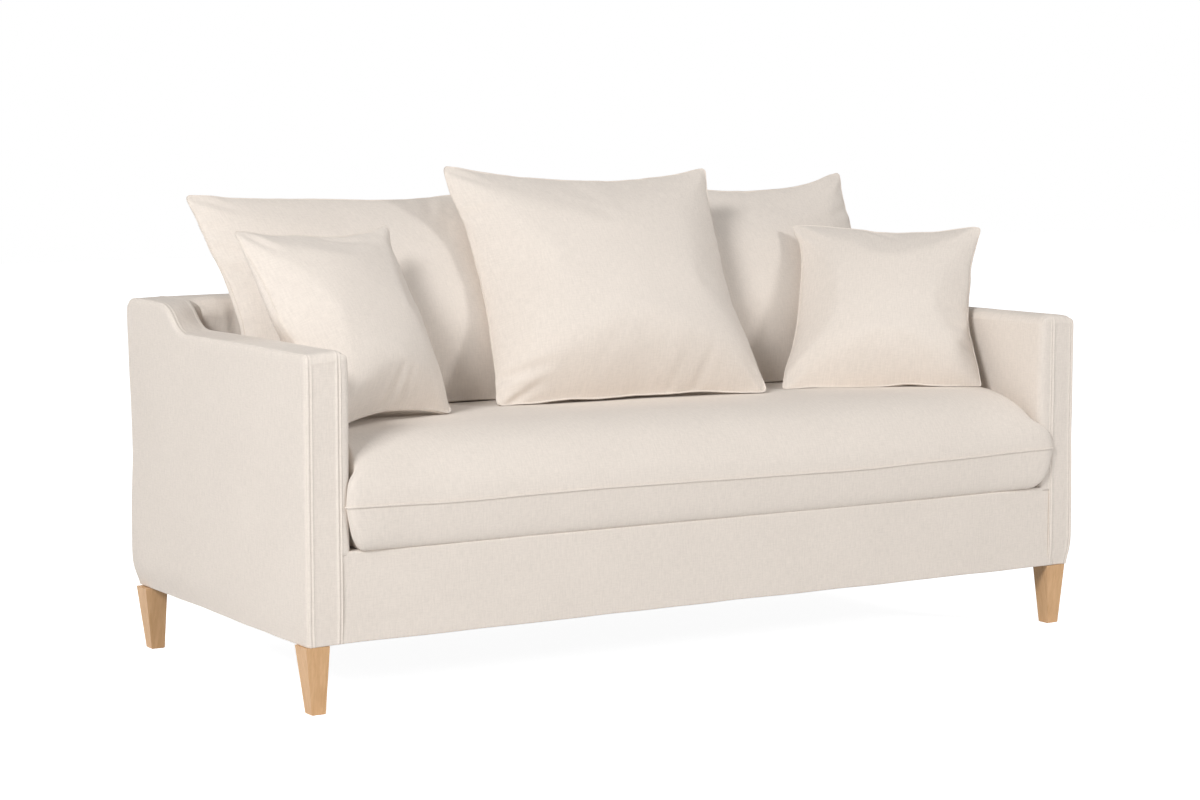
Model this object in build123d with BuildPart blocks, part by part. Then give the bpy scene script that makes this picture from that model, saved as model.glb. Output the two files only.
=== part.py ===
from build123d import *
from math import atan2, cos, radians, sin
import os

# A two-seat sofa with a timber frame, a sewn loose cover, four tapered legs and six loose cushions.
# Millimetres, +Z up, +Y towards the back, +X to the right of someone who faces the sofa.
# The origin is on the floor under the middle of the body.

os.makedirs("parts", exist_ok=True)

# Body, measured outside the cover
body_width = 1812.0
body_depth = 814.0
hem_height = 132.0
arm_width = 91.0
arm_height = 668.0
back_height = 722.0
deck_height = 301.0
rise_start_depth = 287.0  # from the rear of the body to where the arm starts to rise
rise_end_depth = 157.0  # from the rear of the body to where the arm is as high as the back
back_foot_depth = 192.0  # thickness of the back at the deck
back_edge_depth = 145.0  # thickness of the back at its top edge
arm_front_round = 12.0
arm_edge_round = 10.0
back_front_round = 25.0
back_rear_round = 30.0
apron_round = 20.0
outer_seam = 10.0  # from the outside of the arm to its outer seam
inner_seam = 28.0  # from the inside of the arm to its inner seam
front_seam_drop = 18.0  # from the arm's top to the seam across its front

# Layers
cloth = 2.5
wadding = 8.0
back_wadding = 25.0
platform_pad = 20.0
dust_cloth = 1.0
soft_gap = 0.3  # between soft pieces that rest on each other

# Timber
panel = 5.0
rail = 27.0
post_depth = 50.0
stretcher_height = 60.0
stretcher_inset = 553.5  # from a front post to the nearer stretcher's middle
block_length = 60.0
tack_height = 57.0
upright_inset = 285.5  # from the side of the back frame to the outer upright's middle

# Springs and webbing
wire = 4.0
spring_count = 8
spring_inset = 200.5  # from a post to the first spring's middle
spring_legs = 23
spring_leg = 28.0
clip_floor = 1.5
clip_size = (26.0, 14.0)
wire_clearance = 0.05
spring_gap = 0.3  # between the springs and the pad and back frame above them
web = 2.0
web_width = 50.0
web_offsets = (160.0, -130.0, -360.0)  # from an outer upright to the strips beside it

# Legs and their fixings
leg_height = 130.0
leg_foot = 28.3
leg_taper = 19.6  # on the left and front faces only
leg_chamfer = 1.5
leg_side_inset = 30.0  # from the side of the body to the leg's bolt
leg_end_inset = 34.0  # from the front or rear of the body to the leg's bolt
washer_thickness = 3.5
washer_radius = 14.0
washer_hole = 4.5
dust_clearance = 2.0
bolt_radius = 4.0
bolt_in_leg = 40.0
bolt_in_post = 18.0
insert_radius = 6.0
insert_length = 22.0
thread_clearance = 0.05

# Bench seat cushion
seat_side_gap = 3.0
seat_lip = 5.0
seat_lip_thickness = 3.0
seat_overhang = 8.0  # how far the seam's lip stands ahead of the body
seat_seam_height = 83.0  # above the cushion's underside
seat_crown = 124.0  # above the seam
seat_corner = 35.0

seat_rear_gap = 3.0
# Outlines of the seat cushion: share of the height, inset
seat_crown_profile = ((0, 0), (0.37, 6), (0.69, 30), (0.9, 75), (1, 150))
seat_base_profile = ((0, 0), (0.47, 3), (0.8, 14), (1, 40))

# Outlines of a loose cushion: share of the depth, then how far sides and corners pull in
cushion_profile = ((0, 0.07, 0), (0.35, 0.12, 0.16), (0.7, 0.27, 0.36), (0.93, 0.45, 0.58), (1, 0.62, 0.78))

# Loose cushions. A place is the lower seam's middle: its distance from the middle of the sofa or from the
# inside of the arm, and how far it stands ahead of the inside back. Depths are in front of and behind the seam.
cushion_cloth = 2.0
centre_cushion_place = (-14.0, 325.0)
centre_cushion_size = (618.0, 541.0)
centre_cushion_depths = (88.0, 50.0)
centre_cushion_angles = (-6.0, 32.0)  # turn, lean
left_cushion_place = (212.0, 421.0)
left_cushion_size = (372.0, 425.0)
left_cushion_angles = (16.0, 33.0)
right_cushion_place = (228.0, 406.0)
right_cushion_size = (425.0, 389.0)
right_cushion_angles = (-25.0, 28.0)
scatter_cushion_depths = (72.0, 60.0)
back_cushion_side_gap = 5.0
back_cushion_split = 4.0
back_cushion_place = 181.0
back_cushion_height = 505.0
back_cushion_depth = 60.0
back_cushion_angles = (0.0, 33.4)

# Worked out from the values above
skin = cloth + wadding
half_depth = body_depth / 2
arm_out = body_width / 2
arm_in = arm_out - arm_width
post_out = arm_out - skin - panel
post_in = arm_in + skin + panel
frame_front = skin - half_depth
frame_rear = half_depth - skin
rail_gap = frame_rear - frame_front - 2 * rail
frame_bottom = leg_height + washer_thickness
spring_top = deck_height - cloth - platform_pad
rail_top = spring_top - spring_gap - wire - clip_floor
rise_start = half_depth - rise_start_depth
rise_end = half_depth - rise_end_depth
back_foot = half_depth - back_foot_depth
back_edge = half_depth - back_edge_depth
rise = back_height - arm_height
rise_run = rise_end - rise_start
rise_slope = 2 * atan2(rise, rise_run)
back_slope = (back_edge - back_foot) / (back_height - deck_height)
back_angle = atan2(back_edge - back_foot, back_height - deck_height)
timber_inset = cloth + back_wadding + web
stretcher_spread = post_in - stretcher_inset
back_reach = post_in - panel
upright_spread = back_reach - upright_inset
leg_spots = [
    (x * (arm_out - leg_side_inset), y * (half_depth - leg_end_inset)) for x in (-1, 1) for y in (-1, 1)
]
overcut = 1.0  # how far a cutting solid runs past what it cuts
least_round = 1.0
sides = (("left", -1), ("right", 1))


def save(piece, label):
    piece.part.label = label
    export_step(piece.part, f"parts/{label}.step")


def span(side, inner, outer):
    """The two x values of a piece on one side of the sofa, lower value first."""
    return tuple(sorted((side * inner, side * outer)))


def block(x, y, z):
    """A straight block between two x, two y and two z values."""
    with BuildPart() as piece:
        with BuildSketch(Plane.XY.offset(z[0])):
            with Locations(((x[0] + x[1]) / 2, (y[0] + y[1]) / 2)):
                Rectangle(x[1] - x[0], y[1] - y[0])
        extrude(amount=z[1] - z[0])
    return piece


def arm_side(x, top_inset, end_inset, foot, rounded=True):
    """An arm's side outline with its rising top edge, inset from the cover's outer face."""
    front, rear = end_inset - half_depth, half_depth - end_inset
    low, high = arm_height - top_inset, back_height - top_inset
    turn = (
        (rise_start + rise_end) / 2 + top_inset * sin(rise_slope),
        (arm_height + back_height) / 2 - top_inset * cos(rise_slope),
    )
    with BuildSketch(Plane.YZ.offset(x)) as side:
        with BuildLine():
            level = Line((front, low), (rise_start, low))
            hollow = TangentArc(level @ 1, turn, tangent=level % 1)
            TangentArc(hollow @ 1, (rise_end, high), tangent=hollow % 1)
            Polyline((rise_end, high), (rear, high), (rear, foot), (front, foot), (front, low))
        make_face()
        if rounded:
            front_round = max(arm_front_round - end_inset, least_round)
            fillet(side.vertices().group_by(Axis.X)[0].sort_by(Axis.Y)[-1], front_round)
            fillet(side.vertices().group_by(Axis.X)[-1].sort_by(Axis.Y)[-1], back_rear_round - end_inset)
    return side.sketch


def back_front(height, inset):
    """y of the leaning inside back at a height, inset from its cover's face."""
    return back_foot + (height - deck_height) * back_slope + inset / cos(back_angle)


def back_side(x, front_inset, skin_inset, foot, front_round=least_round):
    """The back's outline in a YZ plane, inset from the cover's outer face."""
    top, rear = back_height - skin_inset, half_depth - skin_inset
    with BuildSketch(Plane.YZ.offset(x)) as side:
        with BuildLine():
            Polyline(
                (back_front(foot, front_inset), foot),
                (back_front(top, front_inset), top),
                (rear, top),
                (rear, foot),
                close=True,
            )
        make_face()
        upper = side.vertices().group_by(Axis.Y)[-1].sort_by(Axis.X)
        fillet(upper[0], front_round)
        fillet(upper[-1], back_rear_round - skin_inset)
    return side.sketch


def window(x, y, z):
    """A plain block used to cut a shell into its sewn panels."""
    return block(x, y, z).part


# Seat frame
rail_height = (frame_bottom, rail_top)
save(block((-post_in, post_in), (frame_front, frame_front + rail), rail_height), "seat_rail_front")
save(block((-post_in, post_in), (frame_rear - rail, frame_rear), rail_height), "seat_rail_rear")
for name, side in sides:
    run = (frame_front + post_depth, frame_rear - post_depth)
    save(block(span(side, post_out - rail, post_out), run, rail_height), f"seat_rail_{name}")

with BuildPart() as seat_stretchers:
    with BuildSketch(Plane.XY.offset(frame_bottom)):
        with Locations((-stretcher_spread, 0), (stretcher_spread, 0)):
            Rectangle(rail, rail_gap)
    extrude(amount=stretcher_height)
save(seat_stretchers, "seat_stretchers")

with BuildPart() as corner_blocks:
    block_depth = post_depth - rail
    with BuildSketch(Plane.XY.offset(frame_bottom)):
        with GridLocations(2 * post_in - block_length, rail_gap - block_depth, 2, 2):
            Rectangle(block_length, block_depth)
    extrude(amount=rail_top - frame_bottom)
save(corner_blocks, "corner_blocks")

# Corner posts, bored from below for the threaded inserts
for end, y, top in (("arm", -1, arm_height), ("back", 1, back_height)):
    for name, side in sides:
        with BuildPart() as post:
            with BuildSketch(Plane.XY.offset(frame_bottom)):
                with Locations((side * (post_in + post_out) / 2, y * (frame_rear - post_depth / 2))):
                    Rectangle(post_out - post_in, post_depth)
            extrude(amount=top - skin - rail - frame_bottom)
            with BuildSketch(Plane.XY.offset(frame_bottom)):
                with Locations((side * (arm_out - leg_side_inset), y * (half_depth - leg_end_inset))):
                    Circle(insert_radius)
            extrude(amount=insert_length, mode=Mode.SUBTRACT)
        save(post, f"{end}_post_{name}")

# Arms: shaped top rail, outer and inner panel, wadding
for name, side in sides:
    low_x = min(span(side, post_in, post_out))
    with BuildPart() as arm_top_rail:
        extrude(arm_side(low_x, skin, skin, arm_height / 2), amount=post_out - post_in)
        extrude(
            arm_side(low_x, skin + rail, skin - overcut, arm_height / 2 - overcut, rounded=False),
            amount=post_out - post_in,
            mode=Mode.SUBTRACT,
        )
    save(arm_top_rail, f"arm_top_rail_{name}")

    with BuildPart() as arm_outer_panel:
        extrude(arm_side(min(span(side, post_out, post_out + panel)), skin, skin, frame_bottom), amount=panel)
    save(arm_outer_panel, f"arm_outer_panel_{name}")

    with BuildPart() as arm_inner_panel:
        extrude(arm_side(min(span(side, post_in - panel, post_in)), skin, skin, rail_top), amount=panel)
    save(arm_inner_panel, f"arm_inner_panel_{name}")


def arm_block(side, inset, foot):
    """The whole arm as a solid with rounded long edges, inset from the cover's outer face."""
    low_x = min(span(side, arm_in + inset, arm_out - inset))
    with BuildPart() as arm:
        extrude(arm_side(low_x, inset, inset, foot), amount=arm_width - 2 * inset)
        if inset < arm_edge_round:
            ends = arm.faces().filter_by(Axis.X)
            fillet(ends.edges() - ends.edges().group_by(Axis.Z)[0], arm_edge_round - inset)
    return arm.part


def behind_back(side, inset, inner):
    """What lies behind the inside back's face, from the middle out to an x value."""
    low_x = min(span(side, 0, inner))
    return extrude(back_side(low_x, inset, -overcut, hem_height - overcut), amount=inner)


for name, side in sides:
    inner_wall = arm_in + skin
    with BuildPart() as arm_padding:
        add(arm_block(side, cloth, frame_bottom))
        add(arm_block(side, skin, frame_bottom - overcut), mode=Mode.SUBTRACT)
        add(behind_back(side, 0, inner_wall), mode=Mode.SUBTRACT)
        add(
            window(
                span(side, 0, inner_wall),
                (frame_front, frame_rear + skin),
                (frame_bottom - overcut, rail_top),
            ),
            mode=Mode.SUBTRACT,
        )
    save(arm_padding, f"arm_padding_{name}")

# Back frame between the inner arm panels
back_top = back_height - skin
with BuildPart() as back_top_rail:
    extrude(back_side(-back_reach, timber_inset, skin, back_top - rail), amount=2 * back_reach)
    add(
        window((-back_reach, back_reach), (frame_rear - panel, frame_rear), (back_top - rail, back_top)),
        mode=Mode.SUBTRACT,
    )
save(back_top_rail, "back_top_rail")

upright_foot = spring_top + spring_gap
with BuildPart() as back_tack_rail:
    with BuildSketch(Plane.YZ.offset(-back_reach)):
        tack_top = upright_foot + tack_height
        Polygon(
            (back_front(upright_foot, timber_inset), upright_foot),
            (back_front(upright_foot, timber_inset) + rail, upright_foot),
            (back_front(tack_top, timber_inset) + rail, tack_top),
            (back_front(tack_top, timber_inset), tack_top),
            align=None,
        )
    extrude(amount=2 * back_reach)
save(back_tack_rail, "back_tack_rail")

with BuildPart() as back_uprights:
    for place in (-upright_spread, 0, upright_spread):
        with BuildSketch(Plane.YZ.offset(place - rail / 2)):
            Polygon(
                (back_front(tack_top, timber_inset), tack_top),
                (back_front(back_top - rail, timber_inset), back_top - rail),
                (frame_rear - panel, back_top - rail),
                (frame_rear - panel, rail_top),
                (frame_rear - rail, rail_top),
                (frame_rear - rail, upright_foot),
                (back_front(upright_foot, timber_inset) + rail, upright_foot),
                (back_front(tack_top, timber_inset) + rail, tack_top),
                align=None,
            )
        extrude(amount=rail)
save(back_uprights, "back_uprights")

panel_height = (rail_top, back_height - back_rear_round)
save(block((-back_reach, back_reach), (frame_rear - panel, frame_rear), panel_height), "back_panel")

# Zigzag springs across the seat, their end legs held in clips on the front and rear rails
spring_front = frame_front + rail / 2
leg_step = (frame_rear - frame_front - rail) / (spring_legs - 1)
wire_middle = spring_top - spring_gap - wire / 2
with BuildPart(mode=Mode.PRIVATE) as spring:
    with BuildLine() as zigzag:
        side = 1
        Line((-spring_leg / 2, spring_front, wire_middle), (spring_leg / 2, spring_front, wire_middle))
        for count in range(1, spring_legs):
            y = spring_front + count * leg_step
            here = Vector(side * spring_leg / 2, y - leg_step, wire_middle)
            there = Vector(side * spring_leg / 2, y, wire_middle)
            bulge = Vector(side * (spring_leg + leg_step) / 2, y - leg_step / 2, wire_middle)
            ThreePointArc(here, bulge, there)
            Line(there, (-side * spring_leg / 2, y, wire_middle))
            side = -side
    with BuildSketch(Plane(zigzag.line @ 0, z_dir=(1, 0, 0))):
        Circle(wire / 2)
    sweep()
spring_step = 2 * (post_in - spring_inset) / (spring_count - 1)
spring_places = [(n * spring_step - post_in + spring_inset, 0) for n in range(spring_count)]
with BuildPart() as seat_springs:
    with Locations(*spring_places):
        add(spring.part)
save(seat_springs, "seat_springs")

with BuildPart() as spring_clips:
    for y in (spring_front, -spring_front):
        with BuildSketch(Plane.XY.offset(rail_top)):
            with Locations(*[(x, y) for x, _ in spring_places]):
                Rectangle(*clip_size)
        extrude(amount=spring_top - rail_top)
    with BuildSketch(Plane.YZ.offset(-arm_in)):
        with Locations((spring_front, wire_middle), (-spring_front, wire_middle)):
            Circle(wire / 2 + wire_clearance)
    extrude(amount=2 * arm_in, mode=Mode.SUBTRACT)
save(spring_clips, "spring_clips")

with BuildPart() as back_webbing:
    for place in [side * (upright_spread + offset) for side in (-1, 1) for offset in web_offsets]:
        with BuildSketch(Plane.YZ.offset(place - web_width / 2)):
            Polygon(
                *[
                    (back_front(z, inset), z)
                    for z, inset in (
                        (upright_foot, timber_inset),
                        (back_top - web, timber_inset),
                        (back_top - web, timber_inset - web),
                        (upright_foot, timber_inset - web),
                    )
                ],
                align=None,
            )
        extrude(amount=web_width)
save(back_webbing, "back_webbing")

# Leg fixings and legs
with BuildPart() as threaded_inserts:
    with BuildSketch(Plane.XY.offset(frame_bottom)):
        with Locations(*leg_spots):
            Circle(insert_radius)
            Circle(bolt_radius + thread_clearance, mode=Mode.SUBTRACT)
    extrude(amount=insert_length)
save(threaded_inserts, "threaded_inserts")

with BuildPart() as hanger_bolts:
    with BuildSketch(Plane.XY.offset(leg_height - bolt_in_leg)):
        with Locations(*leg_spots):
            Circle(bolt_radius)
    extrude(amount=bolt_in_leg + washer_thickness + bolt_in_post)
save(hanger_bolts, "hanger_bolts")

with BuildPart() as leg_washers:
    with BuildSketch(Plane.XY.offset(leg_height)):
        with Locations(*leg_spots):
            Circle(washer_radius)
            Circle(washer_hole, mode=Mode.SUBTRACT)
    extrude(amount=washer_thickness)
save(leg_washers, "leg_washers")

for end, y in (("front", -1), ("rear", 1)):
    for name, side in sides:
        spot = Vector(side * (arm_out - leg_side_inset), y * (half_depth - leg_end_inset))
        with BuildPart() as leg:
            for height, inset, taper in (
                (0, leg_chamfer, 0),
                (leg_chamfer, 0, leg_taper * leg_chamfer / leg_height),
                (leg_height, 0, leg_taper),
            ):
                with BuildSketch(Plane.XY.offset(height)):
                    size = leg_foot - 2 * inset + taper
                    with Locations(spot - Vector(taper / 2, taper / 2)):
                        Rectangle(size, size)
            loft(ruled=True)
            with BuildSketch(Plane.XY.offset(leg_height - bolt_in_leg)):
                with Locations(spot):
                    Circle(bolt_radius)
            extrude(amount=bolt_in_leg, mode=Mode.SUBTRACT)
        save(leg, f"leg_{end}_{name}")

# Padding of the seat platform and of the back
with BuildPart() as seat_platform_pad:
    with BuildSketch(Plane.YZ.offset(-arm_in - cloth)) as profile:
        with BuildLine():
            front, top = cloth - half_depth, deck_height - cloth
            Polyline(
                (front, frame_bottom),
                (front, top),
                (back_front(top, cloth), top),
                (back_front(spring_top, cloth), spring_top),
                (frame_front, spring_top),
                (frame_front, frame_bottom),
                close=True,
            )
        make_face()
        fillet(profile.vertices().group_by(Axis.X)[0].sort_by(Axis.Y)[-1], apron_round - cloth)
    extrude(amount=2 * (arm_in + cloth))
save(seat_platform_pad, "seat_platform_pad")

with BuildPart() as back_padding:
    extrude(
        back_side(-back_reach, cloth, cloth, frame_bottom, back_front_round - cloth),
        amount=2 * back_reach,
    )
    extrude(
        back_side(-back_reach, cloth + back_wadding, skin, frame_bottom - overcut),
        amount=2 * back_reach,
        mode=Mode.SUBTRACT,
    )
    add(
        window((-back_reach, back_reach), (0, frame_rear), (frame_bottom - overcut, upright_foot)),
        mode=Mode.SUBTRACT,
    )
save(back_padding, "back_padding")

# Loose cover: each arm's shell is cut along its seams into panels
above = back_height + overcut
below = hem_height - overcut
whole_y = (-half_depth - overcut, half_depth + overcut)
for name, side in sides:
    inside_x = span(side, 0, arm_in + inner_seam)
    band_x = span(side, arm_in + inner_seam, arm_out - outer_seam)
    outside_x = span(side, arm_out - outer_seam, arm_out + overcut)
    with BuildPart(mode=Mode.PRIVATE) as arm_shell:
        add(arm_block(side, 0, hem_height))
        add(arm_block(side, cloth, below), mode=Mode.SUBTRACT)
        add(behind_back(side, 0, back_reach), mode=Mode.SUBTRACT)
    with BuildPart(mode=Mode.PRIVATE) as inside_zone:
        add(window(inside_x, whole_y, (below, above)))
        add(behind_back(side, 0, arm_in + inner_seam + overcut), mode=Mode.SUBTRACT)

    with BuildPart() as outside_arm:
        add(arm_shell.part)
        add(window(outside_x, whole_y, (below, above)), mode=Mode.INTERSECT)
    save(outside_arm, f"outside_arm_{name}")

    front_window = window(band_x, (whole_y[0], 0), (below, arm_height - front_seam_drop))
    with BuildPart() as arm_front_panel:
        add(arm_shell.part)
        add(front_window, mode=Mode.INTERSECT)
    save(arm_front_panel, f"arm_front_panel_{name}")

    with BuildPart() as arm_top_panel:
        add(arm_shell.part)
        add(window(outside_x, whole_y, (below, above)), mode=Mode.SUBTRACT)
        add(front_window, mode=Mode.SUBTRACT)
        add(inside_zone.part, mode=Mode.SUBTRACT)
    save(arm_top_panel, f"arm_top_panel_{name}")

    with BuildPart() as inside_arm:
        add(arm_shell.part)
        add(inside_zone.part, mode=Mode.INTERSECT)
        add(window(inside_x, whole_y, (below, deck_height)), mode=Mode.SUBTRACT)
    save(inside_arm, f"inside_arm_{name}")

roll = apron_round - half_depth
with BuildPart() as front_apron:
    with BuildSketch(Plane.YZ.offset(-arm_in)) as profile:
        with BuildLine():
            Polyline(
                (-half_depth, hem_height),
                (-half_depth, deck_height),
                (roll, deck_height),
                (roll, deck_height - cloth),
                (cloth - half_depth, deck_height - cloth),
                (cloth - half_depth, hem_height),
                close=True,
            )
        make_face()
        fillet(profile.vertices().group_by(Axis.X)[0].sort_by(Axis.Y)[-1], apron_round)
        fillet(profile.vertices().group_by(Axis.X)[1].sort_by(Axis.Y)[-1], apron_round - cloth)
    extrude(amount=2 * arm_in)
    for name, side in sides:
        add(
            window(
                span(side, arm_in, arm_in + inner_seam),
                (-half_depth, cloth - half_depth),
                (hem_height, deck_height),
            )
        )
save(front_apron, "front_apron")

with BuildPart() as seat_deck:
    with BuildSketch(Plane.YZ.offset(-arm_in - cloth)):
        Polygon(
            (roll, deck_height - cloth),
            (roll, deck_height),
            (back_front(deck_height, cloth), deck_height),
            (back_front(deck_height - cloth, cloth), deck_height - cloth),
            align=None,
        )
    extrude(amount=2 * (arm_in + cloth))
save(seat_deck, "seat_deck")

with BuildPart(mode=Mode.PRIVATE) as back_shell:
    extrude(back_side(-back_reach, 0, 0, hem_height, back_front_round), amount=2 * back_reach)
    extrude(
        back_side(-back_reach, cloth, cloth, below, back_front_round - cloth),
        amount=2 * back_reach,
        mode=Mode.SUBTRACT,
    )
    add(
        window((-back_reach, back_reach), (0, half_depth - cloth), (below, deck_height)),
        mode=Mode.SUBTRACT,
    )
top_seam = back_edge + back_front_round
for label, mode in (("inside_back", Mode.INTERSECT), ("outside_back", Mode.SUBTRACT)):
    with BuildPart() as back_cover:
        add(back_shell.part)
        add(window((-back_reach, back_reach), (0, top_seam), (below, above)), mode=mode)
    save(back_cover, label)

with BuildPart() as dust_cover:
    with BuildSketch(Plane.XY.offset(frame_bottom - dust_cloth)):
        Rectangle(2 * post_out, frame_rear - frame_front)
        with Locations(*leg_spots):
            Circle(washer_radius + dust_clearance, mode=Mode.SUBTRACT)
    extrude(amount=dust_cloth)
save(dust_cover, "dust_cover")

# Bench seat cushion: upper and lower panel meet at a lip all round
seat_bottom = deck_height + soft_gap
seat_seam = seat_bottom + seat_seam_height
seat_top = seat_seam + seat_crown
seat_rear = back_foot - seat_rear_gap
seat_front = half_depth + seat_overhang
seat_width = 2 * (arm_in - seat_side_gap)
seat_depth = seat_front + seat_rear
seat_middle = (seat_rear - seat_front) / 2


def seat_half(height, profile, shrink):
    """The seat cushion on one side of its seam, as a stack of rounded outlines."""
    with BuildPart() as half:
        for share, inset in profile:
            pull = 2 * (seat_lip + inset + shrink)
            with BuildSketch(Plane.XY.offset(seat_seam + share * height * (1 - shrink / abs(height)))):
                with Locations((0, seat_middle)):
                    RectangleRounded(seat_width - pull, seat_depth - pull, seat_corner + inset / 2)
        loft()
    return half.part


for label, height, profile in (
    ("seat_cushion_upper_panel", seat_crown, seat_crown_profile),
    ("seat_cushion_lower_panel", -seat_seam_height, seat_base_profile),
):
    with BuildPart() as seat_panel:
        add(seat_half(height, profile, 0))
        if height > 0:
            with BuildSketch(Plane.XY.offset(seat_seam)):
                with Locations((0, seat_middle)):
                    RectangleRounded(seat_width, seat_depth, seat_corner + seat_lip)
            extrude(amount=seat_lip_thickness)
        add(seat_half(height, profile, cushion_cloth), mode=Mode.SUBTRACT)
    save(seat_panel, label)

with BuildPart() as seat_filling:
    add(seat_half(seat_crown, seat_crown_profile, cushion_cloth + soft_gap))
    add(seat_half(-seat_seam_height, seat_base_profile, cushion_cloth + soft_gap))
save(seat_filling, "seat_cushion_filling")


def cushion_half(plane, width, height, depth, shrink):
    """One side of a cushion from its seam out: sides that pull in, ears at the corners, a full middle."""
    reach = min(width, height) / 2
    with BuildPart() as half:
        for share, side_pull, corner_pull in cushion_profile:
            across = width / 2 - shrink - corner_pull * reach
            up = height / 2 - shrink - corner_pull * reach
            side_across = width / 2 - shrink - side_pull * reach
            side_up = height / 2 - shrink - side_pull * reach
            with BuildSketch(plane.offset(share * (depth - shrink))):
                with BuildLine():
                    ThreePointArc((-across, -up), (0, -side_up), (across, -up))
                    ThreePointArc((across, -up), (side_across, 0), (across, up))
                    ThreePointArc((across, up), (0, side_up), (-across, up))
                    ThreePointArc((-across, up), (-side_across, 0), (-across, -up))
                make_face()
        loft()
    return half.part


def cushion_solid(foot, size, depths, angles, shrink):
    """A whole loose cushion that stands on the seat and leans back."""
    width, height = size
    turn, tilt = (radians(angle) for angle in angles)
    across = Vector(cos(turn), sin(turn), 0)
    up = Vector(-sin(turn) * sin(tilt), cos(turn) * sin(tilt), cos(tilt))
    facing = across.cross(up)
    middle = Vector(*foot, seat_top + soft_gap) + up * (height / 2)
    with BuildPart() as cushion:
        add(cushion_half(Plane(middle, across, facing), width, height, depths[0], shrink))
        add(cushion_half(Plane(middle, across, -facing), width, height, depths[1], shrink))
    return cushion.part


# The back cushions lean on the rounded top edge of the back, which sets how thick they are behind
lean = radians(back_cushion_angles[1])
back_cushion_width = arm_in - back_cushion_side_gap - back_cushion_split / 2
back_cushion_foot = back_foot - back_cushion_place
edge_y = back_front(back_height - back_front_round, back_front_round)
edge_z = back_height - back_front_round
edge_reach = (edge_y - back_cushion_foot) * cos(lean) - (edge_z - seat_top - soft_gap) * sin(lean)
back_cushion_rear = edge_reach - back_front_round - soft_gap

loose_cushions = {
    "centre_cushion": (
        (centre_cushion_place[0], back_foot - centre_cushion_place[1]),
        centre_cushion_size,
        centre_cushion_depths,
        centre_cushion_angles,
    ),
    "scatter_cushion_left": (
        (left_cushion_place[0] - arm_in, back_foot - left_cushion_place[1]),
        left_cushion_size,
        scatter_cushion_depths,
        left_cushion_angles,
    ),
    "scatter_cushion_right": (
        (arm_in - right_cushion_place[0], back_foot - right_cushion_place[1]),
        right_cushion_size,
        scatter_cushion_depths,
        right_cushion_angles,
    ),
}
for name, side in sides:
    loose_cushions[f"back_cushion_{name}"] = (
        (side * (back_cushion_width + back_cushion_split) / 2, back_cushion_foot),
        (back_cushion_width, back_cushion_height),
        (back_cushion_depth, back_cushion_rear),
        back_cushion_angles,
    )

for label, shape in loose_cushions.items():
    with BuildPart() as cushion_cover:
        add(cushion_solid(*shape, 0))
        add(cushion_solid(*shape, cushion_cloth), mode=Mode.SUBTRACT)
    save(cushion_cover, f"{label}_cover")
    with BuildPart() as cushion_filling:
        add(cushion_solid(*shape, cushion_cloth + soft_gap))
    save(cushion_filling, f"{label}_filling")
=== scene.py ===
import math
import bpy
import bmesh
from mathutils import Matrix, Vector, noise
from mathutils.bvhtree import BVHTree


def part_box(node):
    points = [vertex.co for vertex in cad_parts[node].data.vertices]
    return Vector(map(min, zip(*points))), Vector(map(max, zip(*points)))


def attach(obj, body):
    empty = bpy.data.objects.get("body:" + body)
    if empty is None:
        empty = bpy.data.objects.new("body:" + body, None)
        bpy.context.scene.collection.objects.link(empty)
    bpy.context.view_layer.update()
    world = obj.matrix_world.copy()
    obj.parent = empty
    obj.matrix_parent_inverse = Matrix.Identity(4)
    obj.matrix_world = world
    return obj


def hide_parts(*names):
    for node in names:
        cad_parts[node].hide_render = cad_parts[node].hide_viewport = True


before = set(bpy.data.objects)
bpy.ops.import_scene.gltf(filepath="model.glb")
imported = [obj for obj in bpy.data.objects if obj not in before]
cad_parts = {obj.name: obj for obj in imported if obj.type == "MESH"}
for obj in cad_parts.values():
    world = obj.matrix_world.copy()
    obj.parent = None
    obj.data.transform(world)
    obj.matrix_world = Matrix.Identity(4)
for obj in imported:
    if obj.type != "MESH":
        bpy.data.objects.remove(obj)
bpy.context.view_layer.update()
print("frame loaded,", len(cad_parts), "nodes")

mm = 0.001
near = 0.01 * mm  # places this close are the same


def smooth(low, high, value):
    # 0 below low, 1 above high, an even ease between
    share = min(max((value - low) / (high - low), 0.0), 1.0)
    return share * share * (3 - 2 * share)


def bump(middle, reach, value):
    # 1 at the middle, 0 past the reach
    return 1 - smooth(0, reach, abs(value - middle))


def ripple(point, size, seed=0.0):
    # a slow wave through space, -1 to 1, features about size across
    return noise.noise(Vector((point.x / size + seed, point.y / size - seed, point.z / size + 2 * seed)))


def cutRows(bm, axis, places):
    normal = Vector((0, 0, 0))
    normal[axis] = 1
    for place in places:
        everything = bm.verts[:] + bm.edges[:] + bm.faces[:]
        bmesh.ops.bisect_plane(bm, geom=everything, dist=1e-7, plane_co=normal * place, plane_no=normal)


def spread(low, high, step):
    count = max(1, round((high - low) / step))
    return [low + (high - low) * n / count for n in range(1, count)]


def rowsWithin(edge, radius, shares=(0.12, 0.42, 0.73, 1.0)):
    # rows across a rounding, from its edge inwards; the radius is negative where that is downwards
    return [edge + share * radius for share in shares]


def dropFaces(bm, isGone):
    gone = [f for f in bm.faces if isGone(f.calc_center_median())]
    bmesh.ops.delete(bm, geom=gone, context="FACES")


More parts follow.
